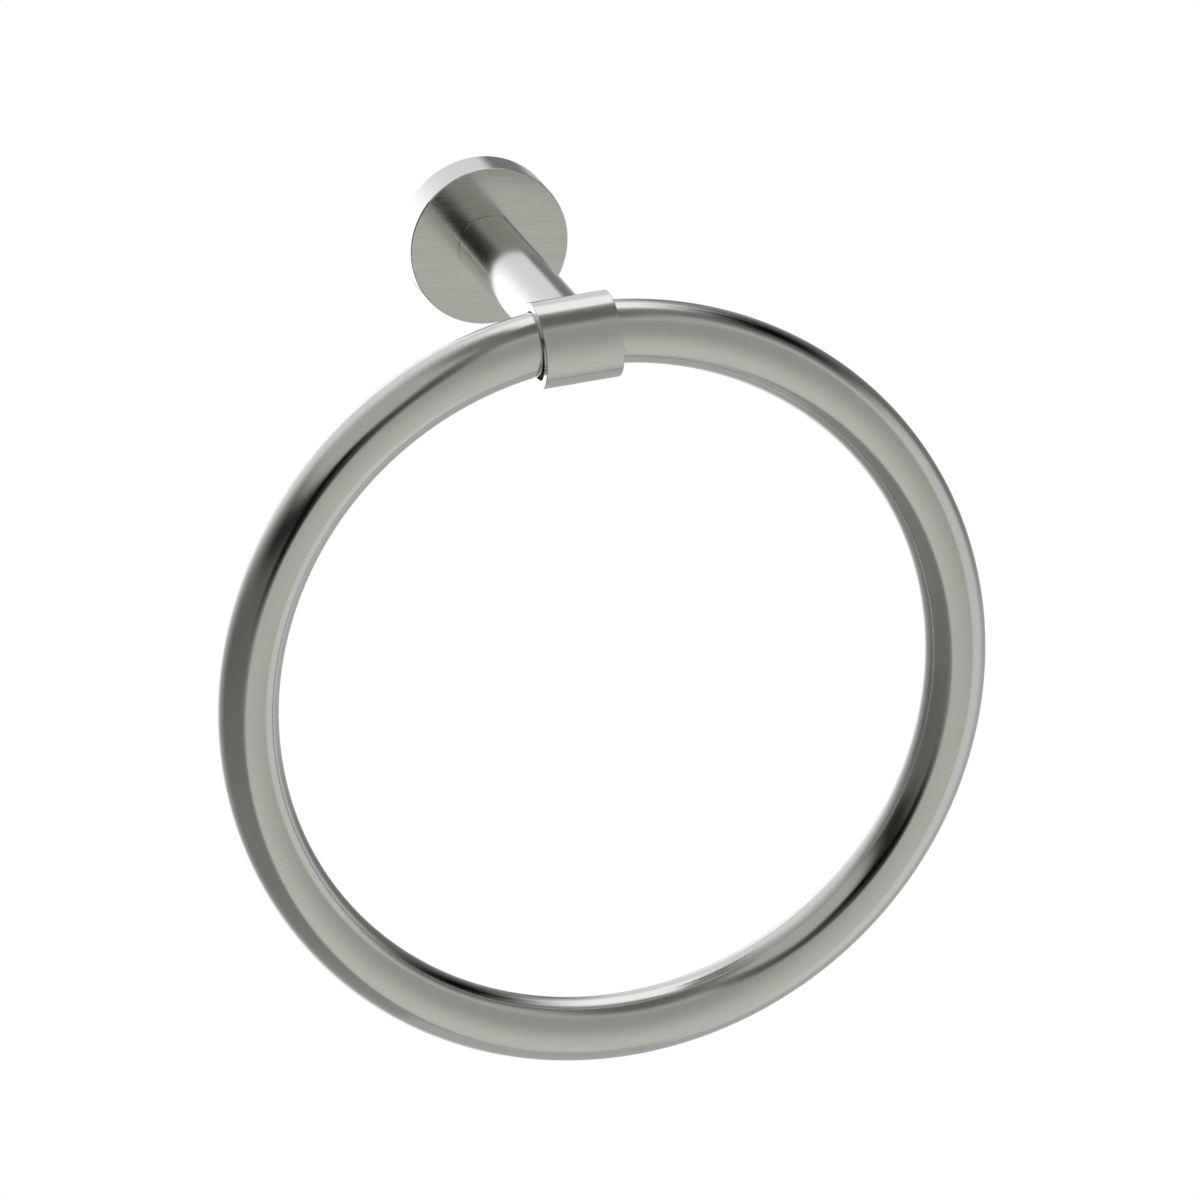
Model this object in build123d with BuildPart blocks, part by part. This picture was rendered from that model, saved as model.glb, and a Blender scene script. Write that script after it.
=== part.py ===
from build123d import *
import os
from math import degrees, sqrt

# Towel ring on a round wall flange, in millimetres.
# The wall is the plane y = 0 and the room lies on its -Y side. X runs along the wall and Z is up.
# The origin is the centre of the flange at the wall.

# Ring: a tube bent to a full circle, with its ends joined inside the collar
ring_outer_diameter = 200.0
ring_tube_diameter = 16.0
ring_tube_wall = 1.5
ring_joint_gap = 0.2
joiner_length = 30.0
joiner_clearance = 0.05
joiner_lead_in = 0.8

# Distance from the wall to the plane of the ring
projection = 86.5

# Bush on the ring, and the collar that it turns in
bush_length = 16.0
bush_wall = 1.5
bush_grip_clearance = 0.05
bush_running_clearance = 0.08
bush_end_clearance = 0.1
bush_split = 6.0
bush_edge = 0.3
collar_length = 20.2
collar_wall = 1.37
collar_land_clearance = 0.75
collar_land_gap = 0.1
collar_edge = 0.2

# Post between the flange and the collar
post_diameter = 16.0
post_root_edge = 0.2
post_seat_gap = 0.03

# Bracket on the wall
bracket_thickness = 6.0
bracket_edge = 0.95
bracket_groove_depth = 1.5
wall_screw_spacing = 25.0
wall_screw_hole = 4.5
wall_screw_head = 8.5

# Flange that slips over the bracket
flange_rim = 2.45
flange_face = 3.0
flange_headroom = 1.2
flange_clearance = 0.35
flange_edge = 0.35

# Screws
thread_clearance = 0.05
through_clearance = 0.3
post_screw_thread = 6.0
post_screw_reach = 12.0
post_screw_head = 10.5
post_screw_head_height = 3.3
post_screw_dome = 1.6
post_screw_key = 4.0
post_screw_key_depth = 2.0
post_screw_head_clearance = 1.0
collar_screw_thread = 4.0
collar_screw_length = 12.0
collar_screw_head = 7.5
collar_screw_recess = 0.1
collar_screw_key = 2.5
collar_screw_key_depth = 1.3
grub_thread = 4.0
grub_tip = 1.0
grub_recess = 0.3
grub_seat_gap = 0.1
grub_key = 2.0
grub_key_depth = 1.6
tap_run_out = 2.0
countersink_angle = 90.0

# Sizes that follow from those above
tube_radius = ring_tube_diameter / 2
ring_radius = ring_outer_diameter / 2 - tube_radius
bush_bore_radius = tube_radius + bush_grip_clearance
bush_radius = bush_bore_radius + bush_wall
collar_groove_radius = bush_radius + bush_running_clearance
collar_groove_half = bush_length / 2 + bush_end_clearance
collar_land_radius = tube_radius + collar_land_clearance
collar_radius = collar_groove_radius + collar_wall
# The ring arches inside the collar, and lies close under the top of both end lands where they begin.
land_sag = ring_radius - sqrt(ring_radius**2 - collar_groove_half**2)
ring_rise = collar_land_clearance - collar_land_gap + land_sag
ring_drop = ring_radius - ring_rise

bracket_radius = wall_screw_spacing / 2 + wall_screw_head / 2 + bracket_edge
bracket_bore_radius = post_screw_head / 2 + post_screw_head_clearance
bracket_groove_level = bracket_thickness / 2
flange_bore_radius = bracket_radius + flange_clearance
flange_radius = flange_bore_radius + flange_rim
flange_cavity = bracket_thickness + flange_headroom
flange_thickness = flange_cavity + flange_face

post_screw_hole_radius = post_screw_thread / 2 + thread_clearance
collar_screw_hole_radius = collar_screw_thread / 2 + thread_clearance
collar_screw_sink_radius = collar_screw_head / 2 + collar_screw_recess + thread_clearance
collar_screw_hole_depth = collar_screw_length + collar_screw_recess + tap_run_out
grub_hole_radius = grub_thread / 2 + thread_clearance

# Planes and axes. XZ planes face the room, so their offsets run out from the wall.
wall_plane = Plane.XZ
flange_face_plane = Plane.XZ.offset(flange_thickness)
cavity_plane = Plane.XZ.offset(flange_cavity)
collar_plane = Plane(origin=(0, -projection, 0), x_dir=(0, 1, 0), z_dir=(1, 0, 0))
collar_screw_plane = Plane.XZ.offset(projection - collar_groove_radius)
ring_centre = (0, -projection, -ring_drop)
ring_axis = Axis(ring_centre, (0, 1, 0))
ring_section = Plane(origin=(0, -projection, ring_rise), x_dir=(0, 1, 0), z_dir=(1, 0, 0))
grub_axis = Axis((0, -bracket_groove_level, 0), (0, 0, 1))

os.makedirs("parts", exist_ok=True)

# Wall bracket: a disc with a groove round its rim for the point of the grub screw
with BuildPart() as wall_bracket:
    with BuildSketch(Plane.XY):
        with BuildLine():
            Polyline(
                (bracket_bore_radius, 0),
                (bracket_radius, 0),
                (bracket_radius, -(bracket_groove_level - bracket_groove_depth)),
                (bracket_radius - bracket_groove_depth, -bracket_groove_level),
                (bracket_radius, -(bracket_groove_level + bracket_groove_depth)),
                (bracket_radius, -bracket_thickness),
                (bracket_bore_radius, -bracket_thickness),
                close=True,
            )
        make_face()
    revolve(axis=Axis.Y)
    with Locations(Plane.XZ.offset(bracket_thickness)):
        with GridLocations(wall_screw_spacing, 0, 2, 1):
            CounterSinkHole(wall_screw_hole / 2, wall_screw_head / 2, counter_sink_angle=countersink_angle)

wall_bracket.part.label = "wall_bracket"
export_step(wall_bracket.part, "parts/wall_bracket.step")

# Wall flange: a cup, open to the wall, with a tapped hole under its rim
with BuildPart() as wall_flange:
    with BuildSketch(wall_plane):
        Circle(flange_radius)
    extrude(amount=flange_thickness)
    with BuildSketch(wall_plane):
        Circle(flange_bore_radius)
    extrude(amount=flange_cavity, mode=Mode.SUBTRACT)
    front_edge = wall_flange.edges().filter_by(GeomType.CIRCLE).group_by(Axis.Y)[0]
    fillet(front_edge, radius=flange_edge)
    with Locations(flange_face_plane):
        Hole(post_screw_thread / 2 + through_clearance, depth=flange_face)
    with Locations(Plane(origin=(0, -bracket_groove_level, -flange_radius), z_dir=(0, 0, -1))):
        Hole(grub_hole_radius, depth=flange_radius)

wall_flange.part.label = "wall_flange"
export_step(wall_flange.part, "parts/wall_flange.step")

# Grub screw: comes up through the flange rim, its cone point in the groove of the bracket
grub_end = flange_radius - grub_recess
grub_point = bracket_radius - bracket_groove_depth + grub_tip / 2 + grub_seat_gap
grub_shoulder = grub_point + grub_thread / 2 - grub_tip / 2
with BuildPart() as flange_grub_screw:
    with BuildSketch(Plane.XZ.offset(bracket_groove_level)):
        with BuildLine():
            Polyline(
                (0, -grub_end),
                (grub_thread / 2, -grub_end),
                (grub_thread / 2, -grub_shoulder),
                (grub_tip / 2, -grub_point),
                (0, -grub_point),
                close=True,
            )
        make_face()
    revolve(axis=grub_axis)
    with BuildSketch(Plane(origin=(0, -bracket_groove_level, -grub_end), z_dir=(0, 0, 1))):
        RegularPolygon(grub_key / 2, 6, major_radius=False)
    extrude(amount=grub_key_depth, mode=Mode.SUBTRACT)

flange_grub_screw.part.label = "flange_grub_screw"
export_step(flange_grub_screw.part, "parts/flange_grub_screw.step")

# Post: a bar with a saddle cut to the collar, tapped at both ends
with BuildPart() as post:
    with BuildSketch(flange_face_plane):
        Circle(post_diameter / 2)
    extrude(amount=projection - flange_thickness)
    root_edge = post.edges().filter_by(GeomType.CIRCLE).group_by(Axis.Y)[-1]
    chamfer(root_edge, length=post_root_edge)
    with BuildSketch(collar_plane):
        Circle(collar_radius + post_seat_gap)
    extrude(amount=post_diameter, both=True, mode=Mode.SUBTRACT)
    with Locations(Plane(origin=flange_face_plane.origin, z_dir=(0, 1, 0))):
        Hole(post_screw_hole_radius, depth=post_screw_reach + tap_run_out)
    with Locations(collar_screw_plane):
        CounterSinkHole(
            collar_screw_hole_radius,
            collar_screw_sink_radius,
            depth=collar_screw_hole_depth,
            counter_sink_angle=countersink_angle,
        )

post.part.label = "post"
export_step(post.part, "parts/post.step")

# Post screw: button head inside the flange, thread in the post
with BuildPart() as post_screw:
    with BuildSketch(cavity_plane):
        Circle(post_screw_head / 2)
    extrude(amount=-post_screw_head_height)
    head_edge = post_screw.edges().filter_by(GeomType.CIRCLE).group_by(Axis.Y)[-1]
    fillet(head_edge, radius=post_screw_dome)
    with BuildSketch(cavity_plane):
        Circle(post_screw_thread / 2)
    extrude(amount=flange_face + post_screw_reach)
    with BuildSketch(Plane.XZ.offset(flange_cavity - post_screw_head_height)):
        RegularPolygon(post_screw_key / 2, 6, major_radius=False)
    extrude(amount=post_screw_key_depth, mode=Mode.SUBTRACT)

post_screw.part.label = "post_screw"
export_step(post_screw.part, "parts/post_screw.step")

# Collar: a short tube across the post, with a groove inside for the bush and countersunk there for its screw
with BuildPart() as collar:
    with BuildSketch(collar_plane):
        Circle(collar_radius)
        Circle(collar_land_radius, mode=Mode.SUBTRACT)
    extrude(amount=collar_length / 2, both=True)
    end_edges = collar.edges().filter_by(GeomType.CIRCLE)
    chamfer(end_edges, length=collar_edge)
    with BuildSketch(collar_plane):
        Circle(collar_groove_radius)
    extrude(amount=collar_groove_half, both=True, mode=Mode.SUBTRACT)
    with Locations(collar_screw_plane):
        CounterSinkHole(
            collar_screw_hole_radius,
            collar_screw_sink_radius,
            depth=collar_screw_hole_depth,
            counter_sink_angle=countersink_angle,
        )

collar.part.label = "collar"
export_step(collar.part, "parts/collar.step")

# Collar screw: countersunk head just below the groove of the collar, thread in the post
collar_screw_top = -(projection - collar_groove_radius) + collar_screw_recess
collar_screw_neck = collar_screw_top + (collar_screw_head - collar_screw_thread) / 2
with BuildPart() as collar_screw:
    with BuildSketch(Plane.XY):
        with BuildLine():
            Polyline(
                (0, collar_screw_top),
                (collar_screw_head / 2, collar_screw_top),
                (collar_screw_thread / 2, collar_screw_neck),
                (collar_screw_thread / 2, collar_screw_top + collar_screw_length),
                (0, collar_screw_top + collar_screw_length),
                close=True,
            )
        make_face()
    revolve(axis=Axis.Y)
    with BuildSketch(Plane.XZ.offset(-collar_screw_top)):
        RegularPolygon(collar_screw_key / 2, 6, major_radius=False)
    extrude(amount=-collar_screw_key_depth, mode=Mode.SUBTRACT)

collar_screw.part.label = "collar_screw"
export_step(collar_screw.part, "parts/collar_screw.step")

# Ring: a hollow tube in a full circle, cut through at the top where its ends meet
with BuildPart() as ring:
    with BuildSketch(ring_section):
        Circle(tube_radius)
        Circle(tube_radius - ring_tube_wall, mode=Mode.SUBTRACT)
    revolve(axis=ring_axis)
    with Locations(ring_section.origin):
        Box(ring_joint_gap, 2 * ring_tube_diameter, 2 * ring_tube_diameter, mode=Mode.SUBTRACT)

ring.part.label = "ring"
export_step(ring.part, "parts/ring.step")

# Ring joiner: a curved plug inside both ends of the tube
joiner_half_arc = degrees(joiner_length / 2 / ring_radius)
with BuildPart() as ring_joiner:
    with BuildSketch(ring_section):
        Circle(tube_radius - ring_tube_wall - joiner_clearance)
    revolve(axis=ring_axis, revolution_arc=joiner_half_arc)
    plug_end = ring_joiner.faces().filter_by(GeomType.PLANE).sort_by(Axis.Z)[0]
    chamfer(plug_end.edges(), length=joiner_lead_in)
    mirror(about=Plane.YZ)

ring_joiner.part.label = "ring_joiner"
export_step(ring_joiner.part, "parts/ring_joiner.step")

# Ring bush: round outside to turn in the collar, bored along the curve of the ring.
# It is split at the top, where it is thinnest, so that it can be squeezed in past the end lands.
with BuildPart() as ring_bush:
    with BuildSketch(collar_plane):
        Circle(bush_radius)
    extrude(amount=bush_length / 2, both=True)
    chamfer(ring_bush.edges().filter_by(GeomType.CIRCLE), length=bush_edge)
    with BuildSketch(ring_section):
        Circle(bush_bore_radius)
    revolve(axis=ring_axis, mode=Mode.SUBTRACT)
    with Locations((0, -projection, bush_radius)):
        Box(2 * bush_length, bush_split, bush_radius, mode=Mode.SUBTRACT)

ring_bush.part.label = "ring_bush"
export_step(ring_bush.part, "parts/ring_bush.step")
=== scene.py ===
"""Towel ring in satin nickel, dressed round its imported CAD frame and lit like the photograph.

The script keeps the CAD solids that already have the right shape and gives them procedural finishes,
replaces the ring with a finer tube from Geometry Nodes, and adds the studio and the camera.
"""

import logging
import math
from abc import ABC, abstractmethod
from dataclasses import dataclass
from enum import Enum
from typing import Any, Mapping, Optional, Union

import bpy
from mathutils import Matrix, Vector


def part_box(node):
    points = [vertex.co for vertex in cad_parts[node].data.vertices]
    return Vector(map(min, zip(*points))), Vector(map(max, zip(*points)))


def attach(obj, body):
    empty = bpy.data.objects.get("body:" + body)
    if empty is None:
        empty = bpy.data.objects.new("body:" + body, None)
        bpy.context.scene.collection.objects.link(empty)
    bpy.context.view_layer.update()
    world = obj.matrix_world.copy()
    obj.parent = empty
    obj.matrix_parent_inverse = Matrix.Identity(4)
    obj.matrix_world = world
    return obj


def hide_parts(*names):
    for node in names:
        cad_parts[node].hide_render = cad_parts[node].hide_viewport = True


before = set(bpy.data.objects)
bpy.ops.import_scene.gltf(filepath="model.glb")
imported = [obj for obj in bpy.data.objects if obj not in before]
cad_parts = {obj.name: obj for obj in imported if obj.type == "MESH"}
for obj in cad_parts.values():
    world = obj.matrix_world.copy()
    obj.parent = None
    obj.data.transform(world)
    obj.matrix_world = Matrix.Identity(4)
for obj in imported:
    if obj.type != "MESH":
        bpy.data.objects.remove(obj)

LOG = logging.getLogger("towel_ring")
MM = 0.001

Socket = bpy.types.NodeSocket
Node = bpy.types.Node
Tree = bpy.types.NodeTree
Sockets = Mapping[Union[int, str], Any]
Colour = tuple[float, float, float, float]

# Keeps X and Z of a position, the plane of the wall and of the hanging ring.
WALL_PLANE = (1.0, 0.0, 1.0)

# Most of a noise texture's values lie between these two.
NOISE_LOW = 0.3
NOISE_HIGH = 0.7


def to_linear(hex_colour: str) -> Colour:
    """Turns an sRGB hex colour into the linear colour that Blender's sockets hold.

    Args:
        hex_colour: Six hex digits with a leading hash sign.

    Returns:
        Linear red, green and blue, and an alpha of 1.
    """
    channels = [int(hex_colour[i:i + 2], 16) / 255 for i in (1, 3, 5)]
    red, green, blue = (c / 12.92 if c <= 0.04045 else ((c + 0.055) / 1.055) ** 2.4 for c in channels)
    return red, green, blue, 1.0


def shaded(colour: Colour, factor: float) -> Colour:
    """Makes a linear colour darker or lighter by a factor."""
    red, green, blue = (min(1.0, c * factor) for c in colour[:3])
    return red, green, blue, 1.0


def add_node(tree: Tree, kind: str, sockets: Optional[Sockets] = None, **settings: Any) -> Node:
    """Adds a node with its settings, and fills or links its inputs.

    Args:
        tree: The node tree that the node goes into.
        kind: Blender's name for the node's type.
        sockets: Input name or number to a plain value, to a socket, or to a node whose first output
            is linked.
        **settings: Properties of the node itself, such as operation or data_type.

    Returns:
        The new node.
    """
    node = tree.nodes.new(kind)
    for key, value in settings.items():
        setattr(node, key, value)
    for key, value in (sockets or {}).items():
        if isinstance(value, Node):
            value = value.outputs[0]
        if isinstance(value, Socket):
            tree.links.new(value, node.inputs[key])
        else:
            node.inputs[key].default_value = value
    return node


def calculate(tree: Tree, operation: str, *terms: Any) -> Node:
    """Adds a Math node with its terms in order."""
    return add_node(tree, "ShaderNodeMath", dict(enumerate(terms)), operation=operation)


def combine(tree: Tree, operation: str, *terms: Any) -> Node:
    """Adds a Vector Math node with its terms in order."""
    return add_node(tree, "ShaderNodeVectorMath", dict(enumerate(terms)), operation=operation)


def scaled(tree: Tree, vector: Any, factor: float) -> Node:
    """Adds a node that makes a vector longer by a factor."""
    return add_node(tree, "ShaderNodeVectorMath", {0: vector, "Scale": factor}, operation="SCALE")


def noise(tree: Tree, place: Any, width: float, detail: float) -> Node:
    """Adds a noise texture whose patches have the given width in metres."""
    return add_node(tree, "ShaderNodeTexNoise", {"Vector": place, "Scale": 1 / width, "Detail": detail})


def remap(
    tree: Tree, value: Any, low: float, high: float, to_low: float = 0.0, to_high: float = 1.0,
    interpolation: str = "LINEAR",
) -> Node:
    """Adds a node that changes one range of values into another.

    Args:
        tree: The node tree.
        value: The value to change.
        low: Value that becomes to_low.
        high: Value that becomes to_high.
        to_low: Result at low and below.
        to_high: Result at high and above.
        interpolation: How the result runs between them.

    Returns:
        The node.
    """
    return add_node(tree, "ShaderNodeMapRange", {
        "Value": value, "From Min": low, "From Max": high, "To Min": to_low, "To Max": to_high,
    }, interpolation_type=interpolation)


def mix_colours(tree: Tree, share: Any, first: Any, second: Any) -> Socket:
    """Mixes two colours, which the Mix node takes at inputs 6 and 7 and gives at output 2."""
    return add_node(tree, "ShaderNodeMix", {0: share, 6: first, 7: second}, data_type="RGBA").outputs[2]


def mix_values(tree: Tree, share: Any, first: Any, second: Any) -> Socket:
    """Mixes two plain values, which the Mix node takes at inputs 2 and 3 and gives at output 0."""
    return add_node(tree, "ShaderNodeMix", {0: share, 2: first, 3: second}, data_type="FLOAT").outputs[0]


def object_place(tree: Tree) -> Socket:
    """Adds the position on the piece in metres."""
    return add_node(tree, "ShaderNodeTexCoord").outputs["Object"]


class Lay(Enum):
    """The way the brush lines of a metal surface run."""

    ALONG_WALL = "straight lines across the flange, along X"
    ROUND_TUBE = "short lines round the ring's tube, side by side along the ring"
    TURNED_X = "lathe lines round a piece that lies along X"
    TURNED_Y = "lathe lines round a piece that lies along Y"


@dataclass(frozen=True)
class Finish(ABC):
    """A finish of one real material, which makes its own Blender material.

    Attributes:
        name: Name of the material, for what it is and how it was made.
        tint: Main colour as sRGB hex.
        roughness: Middle roughness of the surface.
    """

    name: str
    tint: str
    roughness: float

    @abstractmethod
    def shade(self, tree: Tree) -> dict[str, Any]:
        """Builds the pattern nodes and returns what goes into the Principled shader's inputs."""

    def material(self) -> bpy.types.Material:
        """Makes the material.

        Returns:
            A node material with one Principled shader.
        """
        made = bpy.data.materials.new(self.name)
        made.use_nodes = True
        tree = made.node_tree
        tree.nodes.clear()
        shader = add_node(tree, "ShaderNodeBsdfPrincipled", self.shade(tree))
        add_node(tree, "ShaderNodeOutputMaterial", {"Surface": shader})
        return made


@dataclass(frozen=True)
class SatinNickel(Finish):
    """Nickel plating, fine brushed and then lacquered thin.

    The eye sees a warm grey mirror that is a little blurred, with faint brush lines, and reflections that
    smear across those lines and stay sharp along them.

    Attributes:
        lay: Which way the brush lines run.
        centre: Middle of the piece in metres, where the pattern is centred.
        line: Width of one brush line in metres. Real lines are about 0.05 mm and would not show in the
            render, so they are drawn several times coarser.
        length: Length of one brush line in metres.
        slant: Turn of straight brush lines about Y, in degrees.
        contrast: How much the lines change the roughness, as a share of it.
        painted_line_shading: How much the tint changes from the deepest lines to the ridges between them, as
            a
        share of it: painted shade in the grooves and painted highlight on the ridges.
        depth: Height of the brush lines in metres.
        anisotropy: How much further reflections smear across the lines than along them.
        turn: Rotation of that smear as a share of a full turn.
        tangent_axis: Axis that the smear's direction circles, or an empty string for none.
        arc_radius: Radius in metres of the circle that lines round a tube are counted along.
        cloud_width: Width in metres of the patches that plating and handling leave in the gloss.
        cloud_share: How much those patches count beside the lines.
        uneven_low: Value of lines and patches together where the surface is smoothest.
        uneven_high: Value of lines and patches together where it is roughest.
    """

    lay: Lay
    centre: Vector
    line: float = 0.30 * MM
    length: float = 6.0 * MM
    slant: float = 0.0
    contrast: float = 0.25
    painted_line_shading: float = 0.08
    depth: float = 0.002 * MM
    anisotropy: float = 0.0
    turn: float = 0.0
    tangent_axis: str = ""
    arc_radius: float = 0.0
    cloud_width: float = 12.0 * MM
    cloud_share: float = 0.35
    uneven_low: float = 0.35
    uneven_high: float = 1.0

    def brush_coordinates(self, tree: Tree) -> Node:
        """Builds coordinates that run fast across the brush lines and slowly along them.

        Args:
            tree: The material's node tree.

        Returns:
            A node whose first output is the stretched position.
        """
        local = add_node(tree, "ShaderNodeMapping", {
            "Vector": object_place(tree),
            "Location": -self.centre,
            "Rotation": (0.0, math.radians(self.slant), 0.0),
        }, vector_type="POINT")
        fast = 1 / self.line
        slow = 1 / self.length
        if self.lay is Lay.ROUND_TUBE:
            arm = combine(tree, "NORMALIZE", combine(tree, "MULTIPLY", local, WALL_PLANE))
            return combine(tree, "ADD", scaled(tree, arm, self.arc_radius * fast), scaled(tree, local, slow))
        stretch = {
            Lay.ALONG_WALL: (slow, slow, fast),
            Lay.TURNED_X: (fast, slow, slow),
            Lay.TURNED_Y: (slow, fast, slow),
        }[self.lay]
        return combine(tree, "MULTIPLY", local, stretch)

    def shade(self, tree: Tree) -> dict[str, Any]:
        """Builds the brush lines, with painted shade in their grooves and painted highlight on their ridges,
        and the slow cloudiness of the plating.

        Args:
            tree: The material's node tree.

        Returns:
            Inputs for the Principled shader.
        """
        lines = add_node(tree, "ShaderNodeTexNoise", {
            "Vector": self.brush_coordinates(tree), "Scale": 1.0, "Detail": 3.0, "Roughness": 0.65,
        })
        clouds = noise(tree, object_place(tree), self.cloud_width, detail=2.0)
        uneven = calculate(tree, "MULTIPLY_ADD", clouds, self.cloud_share, lines)
        smoothest = self.roughness * (1 - self.contrast)
        roughest = self.roughness * (1 + self.contrast)
        # The tint is darker in the brush lines' grooves and lighter on their ridges: painted shade and
        # painted highlight that stand for how the lines reflect.
        painted_groove_shade = shaded(to_linear(self.tint), 1 - self.painted_line_shading / 2)
        painted_ridge_highlight = shaded(to_linear(self.tint), 1 + self.painted_line_shading / 2)
        inputs: dict[str, Any] = {
            "Base Color": mix_colours(tree, remap(tree, lines, NOISE_LOW, NOISE_HIGH), painted_groove_shade, painted_ridge_highlight),
            "Metallic": 1.0,
            "Roughness": remap(tree, uneven, self.uneven_low, self.uneven_high, smoothest, roughest),
            "Normal": add_node(tree, "ShaderNodeBump", {
                "Height": lines, "Strength": 1.0, "Distance": self.depth,
            }),
            "Anisotropic": self.anisotropy,
            "Anisotropic Rotation": self.turn,
        }
        if self.tangent_axis:
            inputs["Tangent"] = add_node(
                tree, "ShaderNodeTangent", direction_type="RADIAL", axis=self.tangent_axis,
            )
        return inputs


@dataclass(frozen=True)
class FlangeNickel(SatinNickel):
    """Nickel plating on the flange: the face brushed straight across, the rim left polished from the lathe.

    The eye sees soft reflections with fine level lines on the face, and a near mirror round the rim.

    Attributes:
        face_radius: Radius in metres where the flat face ends.
        rim_blend: Width in metres over which the face's finish changes to the rim's.
        rim_roughness: Roughness of the polished rim.
    """

    face_radius: float = 20.1 * MM
    rim_blend: float = 0.1 * MM
    rim_roughness: float = 0.04

    def shade(self, tree: Tree) -> dict[str, Any]:
        """Builds the brushed face and changes to the rim's gloss and plain tint outside the face.

        Args:
            tree: The material's node tree.

        Returns:
            Inputs for the Principled shader.
        """
        inputs = super().shade(tree)
        flat = combine(tree, "MULTIPLY", object_place(tree), WALL_PLANE)
        reach = combine(tree, "LENGTH", flat).outputs["Value"]
        outside = remap(tree, reach, self.face_radius, self.face_radius + self.rim_blend)
        inputs["Roughness"] = mix_values(tree, outside, inputs["Roughness"], self.rim_roughness)
        inputs["Base Color"] = mix_colours(tree, outside, inputs["Base Color"], to_linear(self.tint))
        return inputs


@dataclass(frozen=True)
class ZincPlate(Finish):
    """Bright zinc plating on pressed steel.

    The eye sees a cold, cloudy grey metal with small crystals of slightly different shade.

    Attributes:
        crystal: Width of one patch of the plating in metres.
        cloud: Width in metres of the slow clouds over the patches.
        crystal_share: How much the patches count beside the clouds.
        darkest: Tint of the darkest patches, as a share of the main colour.
        pattern_high: Value of the pattern where the plating is dullest.
        gloss: Roughness of the brightest patches, as a share of the middle one.
        dulling: Roughness of the dullest patches, as a share of the middle one.
    """

    crystal: float = 1.6 * MM
    cloud: float = 16.0 / 3 * MM
    crystal_share: float = 0.4
    darkest: float = 0.8
    pattern_high: float = 0.9
    gloss: float = 0.85
    dulling: float = 1.2

    def shade(self, tree: Tree) -> dict[str, Any]:
        """Builds the patches of the plating.

        Args:
            tree: The material's node tree.

        Returns:
            Inputs for the Principled shader.
        """
        place = object_place(tree)
        patches = add_node(tree, "ShaderNodeTexVoronoi", {"Vector": place, "Scale": 1 / self.crystal})
        clouds = noise(tree, place, self.cloud, detail=3.0)
        pattern = calculate(tree, "MULTIPLY_ADD", patches.outputs["Distance"], self.crystal_share, clouds)
        colour = to_linear(self.tint)
        return {
            "Base Color": mix_colours(tree, pattern, colour, shaded(colour, self.darkest)),
            "Metallic": 1.0,
            "Roughness": remap(
                tree, pattern, NOISE_LOW, self.pattern_high,
                self.roughness * self.gloss, self.roughness * self.dulling,
            ),
        }


@dataclass(frozen=True)
class Grained(Finish):
    """A surface with one fine even grain in its tint, gloss and relief.

    Attributes:
        grain: Width of one grain in metres.
        low_tint: Tint where the grain is low, as a share of the main colour.
        high_tint: Tint where the grain is high, as a share of the main colour.
        gloss: Roughness where the grain is low, as a share of the middle one.
        dulling: Roughness where the grain is high, as a share of the middle one.
        depth: Height of the grain in metres.
        relief: Strength of that height in the shading.
    """

    grain: float
    low_tint: float
    high_tint: float
    gloss: float
    dulling: float
    depth: float
    relief: float

    def shade(self, tree: Tree) -> dict[str, Any]:
        """Builds the grain.

        Args:
            tree: The material's node tree.

        Returns:
            Inputs for the Principled shader.
        """
        grain = noise(tree, object_place(tree), self.grain, detail=2.0)
        colour = to_linear(self.tint)
        return {
            "Base Color": mix_colours(
                tree, grain, shaded(colour, self.low_tint), shaded(colour, self.high_tint),
            ),
            "Roughness": remap(
                tree, grain, NOISE_LOW, NOISE_HIGH,
                self.roughness * self.gloss, self.roughness * self.dulling,
            ),
            "Normal": add_node(tree, "ShaderNodeBump", {
                "Height": grain, "Strength": self.relief, "Distance": self.depth,
            }),
        }


@dataclass(frozen=True)
class ScrewSteel(Grained):
    """Plain stainless steel as it leaves the screw machine.

    The eye sees a darker grey metal with a fine speckle from tumbling.
    """

    grain: float = 0.25 * MM
    low_tint: float = 0.75
    high_tint: float = 1.0
    gloss: float = 0.85
    dulling: float = 1.2
    depth: float = 0.004 * MM
    relief: float = 0.6

    def shade(self, tree: Tree) -> dict[str, Any]:
        """Builds the tumbling marks in bare metal."""
        return {**super().shade(tree), "Metallic": 1.0}


@dataclass(frozen=True)
class MouldedNylon(Grained):
    """Black nylon, injection moulded.

    The eye sees a dull black with a faint even grain.

    Attributes:
        ior: Refractive index of nylon.
    """

    grain: float = 0.4 * MM
    low_tint: float = 1.0
    high_tint: float = 1.8
    gloss: float = 0.9
    dulling: float = 1.1
    depth: float = 0.02 * MM
    relief: float = 0.5
    ior: float = 1.53

    def shade(self, tree: Tree) -> dict[str, Any]:
        """Builds the grain of the mould in plastic."""
        return {**super().shade(tree), "IOR": self.ior}


def dress(node: str, finish: Finish) -> None:
    """Gives a CAD node that stays in the scene its finish.

    Args:
        node: Name of the CAD node.
        finish: The finish that its material slot gets.
    """
    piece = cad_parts[node]
    piece.material_slots[0].material = finish.material()
    LOG.info("%s keeps its CAD shape, in %s", node, finish.name)


def middle(node: str) -> Vector:
    """The centre of a CAD node's box at rest."""
    low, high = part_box(node)
    return (low + high) / 2


NICKEL = "#CECEC9"
ZINC = ZincPlate("zinc plated steel, bright", "#B9BCC0", roughness=0.34)
STEEL = ScrewSteel("stainless steel, tumbled", "#8F8F8D", roughness=0.30)
NYLON = MouldedNylon("black nylon, moulded", "#1C1C1D", roughness=0.48)


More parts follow.
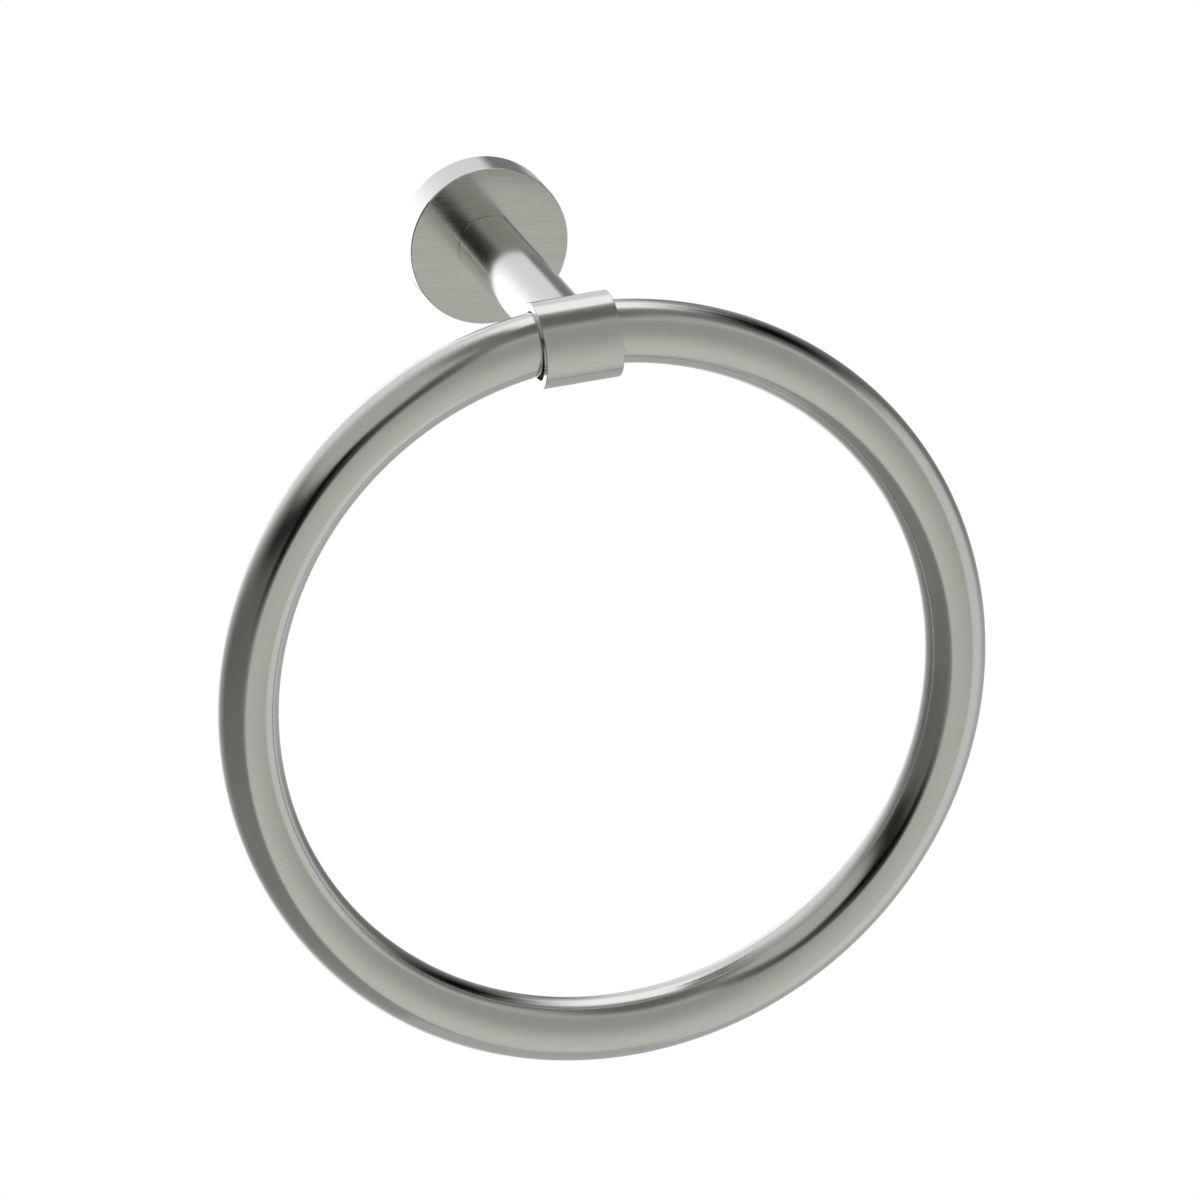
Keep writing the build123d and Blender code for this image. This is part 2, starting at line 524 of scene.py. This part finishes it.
@dataclass
class WallFlangeSet:
    """The round flange on the wall, the bracket that it hides and the screws that hold them.

    Attributes:
        brush_line: Width of a drawn brush line on the flange's face in metres.
        brush_length: Length of such a line in metres.
        brush_slant: Turn of the lines about Y in degrees. The flange is screwed on at no set turn, and in
            the photograph its lines lie level in the picture.
    """

    brush_line: float = 0.22 * MM
    brush_length: float = 9.0 * MM
    brush_slant: float = -10.0

    def dress(self) -> None:
        """Gives the flange, the bracket and both screws their finishes."""
        dress("wall_flange", FlangeNickel(
            "satin nickel, straight brushed", NICKEL, roughness=0.16,
            lay=Lay.ALONG_WALL, centre=middle("wall_flange"),
            line=self.brush_line, length=self.brush_length, slant=self.brush_slant,
            contrast=0.3, painted_line_shading=0.16, depth=0.0007 * MM,
        ))
        dress("wall_bracket", ZINC)
        dress("flange_grub_screw", STEEL)
        dress("post_screw", STEEL)


@dataclass
class PostAndCollar:
    """The round post, the short collar across its end and the screw between them.

    Attributes:
        turning_line: Width of a drawn lathe line in metres.
    """

    turning_line: float = 0.25 * MM

    def dress(self) -> None:
        """Gives the post, the collar and the collar's screw their finishes."""
        dress("post", SatinNickel(
            "satin nickel, turned and polished", NICKEL, roughness=0.09,
            lay=Lay.TURNED_Y, centre=middle("post"),
            line=self.turning_line, contrast=0.2, painted_line_shading=0.02, depth=0.0005 * MM,
            anisotropy=0.85, turn=0.25, tangent_axis="Y",
        ))
        dress("collar", SatinNickel(
            "satin nickel, turned and fine brushed", NICKEL, roughness=0.16,
            lay=Lay.TURNED_X, centre=middle("collar"),
            line=self.turning_line, contrast=0.25, painted_line_shading=0.05, depth=0.001 * MM,
            anisotropy=0.4, turn=0.25, tangent_axis="X",
        ))
        dress("collar_screw", STEEL)


@dataclass
class SwingRing:
    """The ring, a tube in a full circle, with the plug that joins its ends and the bush that it turns in.

    Attributes:
        centre: Centre of the ring in metres.
        path_radius: Radius of the tube's middle line in metres.
        tube_radius: Radius of the tube in metres.
        ring_steps: Number of tube sections round the ring.
        tube_steps: Number of points round one section.
    """

    centre: Vector
    path_radius: float
    tube_radius: float
    ring_steps: int = 384
    tube_steps: int = 96

    @classmethod
    def from_frame(cls) -> "SwingRing":
        """Measures the CAD ring, so that the finer tube lies where the CAD says.

        Returns:
            The ring with the CAD's centre and radii.
        """
        low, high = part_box("ring")
        tube_radius = (high.y - low.y) / 2
        return cls((low + high) / 2, (high.x - low.x) / 2 - tube_radius, tube_radius)

    def tube_tree(self) -> bpy.types.GeometryNodeTree:
        """Builds the Geometry Nodes tree that sweeps a round section along a circle.

        Returns:
            A tree with named inputs for the sizes and the material.
        """
        tree = bpy.data.node_groups.new("tube_in_a_circle", "GeometryNodeTree")
        for name, kind in (
            ("Path Radius", "NodeSocketFloat"), ("Tube Radius", "NodeSocketFloat"),
            ("Ring Steps", "NodeSocketInt"), ("Tube Steps", "NodeSocketInt"),
            ("Centre", "NodeSocketVector"), ("Material", "NodeSocketMaterial"),
        ):
            tree.interface.new_socket(name=name, in_out="INPUT", socket_type=kind)
        tree.interface.new_socket(name="Tube", in_out="OUTPUT", socket_type="NodeSocketGeometry")
        given = add_node(tree, "NodeGroupInput").outputs
        path = add_node(tree, "GeometryNodeCurvePrimitiveCircle", {
            "Resolution": given["Ring Steps"], "Radius": given["Path Radius"],
        })
        section = add_node(tree, "GeometryNodeCurvePrimitiveCircle", {
            "Resolution": given["Tube Steps"], "Radius": given["Tube Radius"],
        })
        tube = add_node(tree, "GeometryNodeCurveToMesh", {"Curve": path, "Profile Curve": section})
        upright = add_node(tree, "GeometryNodeTransform", {
            "Geometry": tube, "Translation": given["Centre"], "Rotation": (math.pi / 2, 0.0, 0.0),
        })
        smooth = add_node(tree, "GeometryNodeSetShadeSmooth", {"Geometry": upright})
        real = add_node(tree, "GeometryNodeRealizeInstances", {"Geometry": smooth})
        dressed = add_node(tree, "GeometryNodeSetMaterial", {
            "Geometry": real, "Material": given["Material"],
        })
        add_node(tree, "NodeGroupOutput", {"Tube": dressed})
        return tree

    def build_tube(self) -> bpy.types.Object:
        """Makes the ring's tube as a plain mesh that stands for the CAD ring.

        Returns:
            The finished piece, riding on the swinging body.
        """
        finish = SatinNickel(
            "satin nickel, fine brushed round the tube", NICKEL, roughness=0.13,
            lay=Lay.ROUND_TUBE, centre=self.centre, arc_radius=self.path_radius,
            line=0.30 * MM, length=5.0 * MM, contrast=0.25, painted_line_shading=0.05, depth=0.0008 * MM,
            anisotropy=0.4, tangent_axis="Y",
        )
        material = finish.material()
        tree = self.tube_tree()
        carrier = bpy.data.objects.new("ring_carrier", bpy.data.meshes.new("ring_carrier"))
        bpy.context.scene.collection.objects.link(carrier)
        modifier = carrier.modifiers.new("tube", "NODES")
        modifier.node_group = tree
        values = {
            "Path Radius": self.path_radius, "Tube Radius": self.tube_radius,
            "Ring Steps": self.ring_steps, "Tube Steps": self.tube_steps,
            "Centre": tuple(self.centre), "Material": material,
        }
        for item in tree.interface.items_tree:
            if item.in_out == "INPUT":
                modifier[item.identifier] = values[item.name]
        evaluated = carrier.evaluated_get(bpy.context.evaluated_depsgraph_get())
        mesh = bpy.data.meshes.new_from_object(evaluated)
        mesh.name = "ring_tube"
        carrier.modifiers.remove(modifier)
        bpy.data.objects.remove(carrier)
        piece = bpy.data.objects.new("ring_tube", mesh)
        bpy.context.scene.collection.objects.link(piece)
        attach(piece, "swing_ring")
        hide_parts("ring")
        LOG.info("ring_tube stands for ring, with %d faces, in %s", len(mesh.polygons), finish.name)
        return piece

    def dress(self) -> None:
        """Gives the plug and the bush inside the collar their finishes."""
        dress("ring_joiner", ZINC)
        dress("ring_bush", NYLON)


# Exponent of a panel's outline: 2 would be an ellipse, and more comes closer to a sharp rectangle.
CORNER_POWER = 4.0

# A graded panel changes from its lower to its upper brightness over this share of its half height.
GRADED_SHARE = 0.6


@dataclass(frozen=True)
class StudioPanel:
    """One soft-edged light or dark panel of the studio, far away, placed by its direction.

    Attributes:
        name: What the panel is.
        longitude: Direction of its centre in degrees, 0 towards the room and positive to the right.
        latitude: Height of its centre in degrees above the horizon.
        half_width: Half of its width in degrees.
        half_height: Half of its height in degrees.
        level: Its brightness, or its brightness at the bottom if it has a top_level.
        top_level: Its brightness at the top, if that differs.
        softness: How far its edge fades, as a share of its half size.
        tilt: Its turn in degrees, negative where its right end is the lower one.
    """

    name: str
    longitude: float
    latitude: float
    half_width: float
    half_height: float
    level: float
    top_level: Optional[float] = None
    softness: float = 0.5
    tilt: float = 0.0

    def paint(self, tree: Tree, longitude: Node, latitude: Node, under: Socket) -> Socket:
        """Paints the panel over what is already there, as a rectangle with rounded corners.

        Args:
            tree: The world's node tree.
            longitude: Direction's longitude in radians.
            latitude: Direction's latitude in radians.
            under: Brightness before this panel.

        Returns:
            Brightness with this panel.
        """
        cosine = math.cos(math.radians(self.tilt))
        sine = math.sin(math.radians(self.tilt))
        wide = math.radians(self.half_width)
        high = math.radians(self.half_height)
        across = calculate(tree, "SUBTRACT", longitude, math.radians(self.longitude))
        across = calculate(tree, "WRAP", across, math.pi, -math.pi)
        rise = calculate(tree, "SUBTRACT", latitude, math.radians(self.latitude))
        side = calculate(tree, "MULTIPLY", rise, sine / wide)
        side = calculate(tree, "MULTIPLY_ADD", across, cosine / wide, side)
        height = calculate(tree, "MULTIPLY", across, -sine / high)
        height = calculate(tree, "MULTIPLY_ADD", rise, cosine / high, height)
        side = calculate(tree, "POWER", calculate(tree, "ABSOLUTE", side), CORNER_POWER)
        end = calculate(tree, "POWER", calculate(tree, "ABSOLUTE", height), CORNER_POWER)
        edge = calculate(tree, "POWER", calculate(tree, "ADD", side, end), 1 / CORNER_POWER)
        cover = remap(tree, edge, 1 - self.softness, 1 + self.softness, 1.0, 0.0, "SMOOTHSTEP")
        top_level = self.level if self.top_level is None else self.top_level
        level = remap(tree, height, -GRADED_SHARE, GRADED_SHARE, self.level, top_level, "SMOOTHSTEP")
        return mix_values(tree, cover, under, level)


# Panels from the back of the list to the front, in the order in which they cover each other. They are
# placed from where the photograph's metal shows its lights and darks.
PANELS: tuple[StudioPanel, ...] = (
    # Over and under the part.
    StudioPanel("dark ceiling", 0, 90, 400, 18, level=0.25),
    StudioPanel("dark ceiling, front", 45, 78, 60, 20, level=0.18),
    StudioPanel("shaded ground", -90, -70, 60, 25, level=0.4),
    # Behind it: the white along the ring's edge, the post and the rim, and a dark wall to the right.
    StudioPanel("white wall behind, upper", -165, 28, 44, 30, level=1.0),
    StudioPanel("white wall behind, lower", -162, -14, 23, 29, level=1.7),
    StudioPanel("lamp behind, right", 155, 55, 28, 20, level=1.4, softness=0.4, tilt=30),
    StudioPanel("dark wall, right", 127, 8, 26, 24, level=0.25, top_level=0.15, softness=0.4),
    # Left: a grey wall and a lamp, with a black strip between them that ends in a corner.
    StudioPanel("grey wall, left", -70, -20, 50, 45, level=0.27, top_level=0.17, softness=0.4),
    StudioPanel("lamp, upper left", -60, 49, 40, 20, level=0.55, softness=0.2, tilt=-10),
    StudioPanel("black strip, left", -56, 22, 42, 9, level=0.02, softness=0.7, tilt=-10),
    StudioPanel("black corner, left", -26, 16, 11, 18, level=0.0, softness=0.4),
    StudioPanel("dark stand, left", -14, 38, 9, 28, level=0.08, top_level=0.15, softness=0.7),
    # Right: bright below and dark above.
    StudioPanel("bright wall, right", 73, -25, 32, 48, level=0.82, top_level=0.75),
    StudioPanel("dark wall, upper right", 95, 40, 18, 24, level=0.25),
    # In front: the grey screen that most of the ring shows, brightest at the bottom.
    StudioPanel("front screen", 19, -15, 39, 64, level=0.72, top_level=0.44, softness=0.12, tilt=-18),
    # Over the right side again: a black strip, and a flag that darkens the right side of post and rim.
    StudioPanel("black strip, right", 115, 33, 22, 12, level=0.0, softness=0.7),
    StudioPanel("dark flag, right", 158, 6, 5, 12, level=0.25),
)


@dataclass
class Studio:
    """Plain soft studio: a far ring of panels, a pale floor well below the part and a white background.

    Attributes:
        ambient: Brightness between the panels.
        floor_level: Height of the floor in metres.
        floor_half: Half of the floor's side in metres.
        floor_tint: Colour of the floor.
        floor_white: Strength of the white that the floor adds for the camera.
        floor_mirrored: Share of that white that metal shows.
        background: Colour that the camera sees behind the part.
        room: Colour of the light from the room in front, a little warm.
        daylight: Colour of the light from behind.
        daylight_start: Y of a direction, on a sphere of radius 1, where the daylight begins.
        daylight_full: Y of a direction where there is daylight alone.
    """

    ambient: float = 0.55
    floor_level: float = -1.20
    floor_half: float = 0.30
    floor_tint: str = "#E9E9E6"
    floor_white: float = 0.6
    floor_mirrored: float = 0.2
    background: str = "#FFFFFF"
    room: str = "#FFFFFA"
    daylight: str = "#F8F8FF"
    daylight_start: float = -0.45
    daylight_full: float = 1.0

    def build_world(self) -> None:
        """Lights the scene from the panels and shows plain white to the camera."""
        world = bpy.data.worlds.new("studio")
        world.use_nodes = True
        bpy.context.scene.world = world
        tree = world.node_tree
        tree.nodes.clear()
        direction = add_node(tree, "ShaderNodeTexCoord").outputs["Generated"]
        axes = add_node(tree, "ShaderNodeSeparateXYZ", {0: direction}).outputs
        front = calculate(tree, "MULTIPLY", axes["Y"], -1.0)
        longitude = calculate(tree, "ARCTAN2", axes["X"], front)
        latitude = calculate(tree, "ARCSINE", axes["Z"])
        light: Socket = add_node(tree, "ShaderNodeValue").outputs[0]
        light.default_value = self.ambient
        for panel in PANELS:
            light = panel.paint(tree, longitude, latitude, light)
            LOG.info("studio panel: %s", panel.name)
        behind = remap(tree, axes["Y"], self.daylight_start, self.daylight_full)
        colour = mix_colours(tree, behind, to_linear(self.room), to_linear(self.daylight))
        studio = add_node(tree, "ShaderNodeBackground", {"Color": colour, "Strength": light})
        white = add_node(tree, "ShaderNodeBackground", {
            "Color": to_linear(self.background), "Strength": 1.0,
        })
        ray = add_node(tree, "ShaderNodeLightPath").outputs
        seen = calculate(tree, "MAXIMUM", ray["Is Camera Ray"], ray["Is Transmission Ray"])
        both = add_node(tree, "ShaderNodeMixShader", {0: seen, 1: studio, 2: white})
        add_node(tree, "ShaderNodeOutputWorld", {"Surface": both})

    def floor_material(self) -> bpy.types.Material:
        """Makes the floor pale, white to the camera except where the part shades it, and open from below.

        Returns:
            The floor's material.
        """
        made = bpy.data.materials.new("pale studio floor, matt")
        made.use_nodes = True
        tree = made.node_tree
        tree.nodes.clear()
        matt = add_node(tree, "ShaderNodeBsdfDiffuse", {"Color": to_linear(self.floor_tint)})
        ray = add_node(tree, "ShaderNodeLightPath").outputs
        seen = calculate(tree, "MAXIMUM", ray["Is Camera Ray"], ray["Is Transmission Ray"])
        seen = calculate(tree, "MULTIPLY_ADD", ray["Is Glossy Ray"], self.floor_mirrored, seen)
        glow = add_node(tree, "ShaderNodeEmission", {
            "Strength": calculate(tree, "MULTIPLY", seen, self.floor_white),
        })
        top = add_node(tree, "ShaderNodeAddShader", {0: matt, 1: glow})
        below = add_node(tree, "ShaderNodeBsdfTransparent")
        side = add_node(tree, "ShaderNodeNewGeometry").outputs["Backfacing"]
        both = add_node(tree, "ShaderNodeMixShader", {0: side, 1: top, 2: below})
        add_node(tree, "ShaderNodeOutputMaterial", {"Surface": both})
        return made

    def build_floor(self) -> None:
        """Lays the floor as a stage piece below the camera's view."""
        half, level = self.floor_half, self.floor_level
        corners = [(-half, -half, level), (half, -half, level), (half, half, level), (-half, half, level)]
        mesh = bpy.data.meshes.new("floor")
        mesh.from_pydata(corners, [], [(0, 1, 2, 3)])
        mesh.materials.append(self.floor_material())
        floor = bpy.data.objects.new("floor", mesh)
        bpy.context.scene.collection.objects.link(floor)
        LOG.info("floor at %.2f m", level)


@dataclass
class PhotoCamera:
    """Camera at the photograph's angle, with a lens so long that the view is nearly parallel.

    Attributes:
        target: Point of the part in metres that the picture is placed by.
        shift_right: Distance in metres from the target to the middle of the picture, to the right.
        shift_up: Distance in metres from the target to the middle of the picture, upwards.
        azimuth: Degrees round the part, 0 straight in front and negative to the left.
        elevation: Degrees above the horizon.
        roll: Degrees that the part looks turned counter-clockwise in the picture.
        half_frame: Half of the picture's width at the part, in metres.
        distance: Distance from the part in metres.
        sensor_width: Width of the camera's sensor in millimetres.
    """

    target: Vector
    shift_right: float = -0.26 * MM
    shift_up: float = 20.15 * MM
    azimuth: float = -14.5
    elevation: float = 20.19
    roll: float = 4.64
    half_frame: float = 150.09 * MM
    distance: float = 10.0
    sensor_width: float = 36.0

    def build(self) -> None:
        """Makes the camera and hands it to the scene."""
        turn, lift, roll = (math.radians(a) for a in (self.azimuth, self.elevation, self.roll))
        back = Vector((math.sin(turn) * math.cos(lift), -math.cos(turn) * math.cos(lift), math.sin(lift)))
        level = Vector((math.cos(turn), math.sin(turn), 0.0))
        upright = back.cross(level)
        right = level * math.cos(roll) - upright * math.sin(roll)
        up = level * math.sin(roll) + upright * math.cos(roll)
        data = bpy.data.cameras.new("photo_camera")
        data.sensor_width = self.sensor_width
        data.lens = self.sensor_width / 2 * self.distance / self.half_frame
        data.clip_start = self.distance / 100
        data.clip_end = self.distance * 4
        camera = bpy.data.objects.new("photo_camera", data)
        turned = Matrix((right, up, back)).transposed().to_4x4()
        centre = self.target + right * self.shift_right + up * self.shift_up
        camera.matrix_world = Matrix.Translation(centre + back * self.distance) @ turned
        bpy.context.scene.collection.objects.link(camera)
        bpy.context.scene.camera = camera
        LOG.info("camera lens %.0f mm at %.1f m", data.lens, self.distance)


def main() -> None:
    """Builds the part's sub-assemblies, the studio and the camera in order."""
    logging.basicConfig(level=logging.INFO, format="%(name)s: %(message)s")
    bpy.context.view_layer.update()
    bpy.context.scene.view_settings.view_transform = "Standard"
    WallFlangeSet().dress()
    PostAndCollar().dress()
    ring = SwingRing.from_frame()
    ring.build_tube()
    ring.dress()
    studio = Studio()
    studio.build_world()
    studio.build_floor()
    PhotoCamera(target=ring.centre).build()


if __name__ == "__main__":
    main()
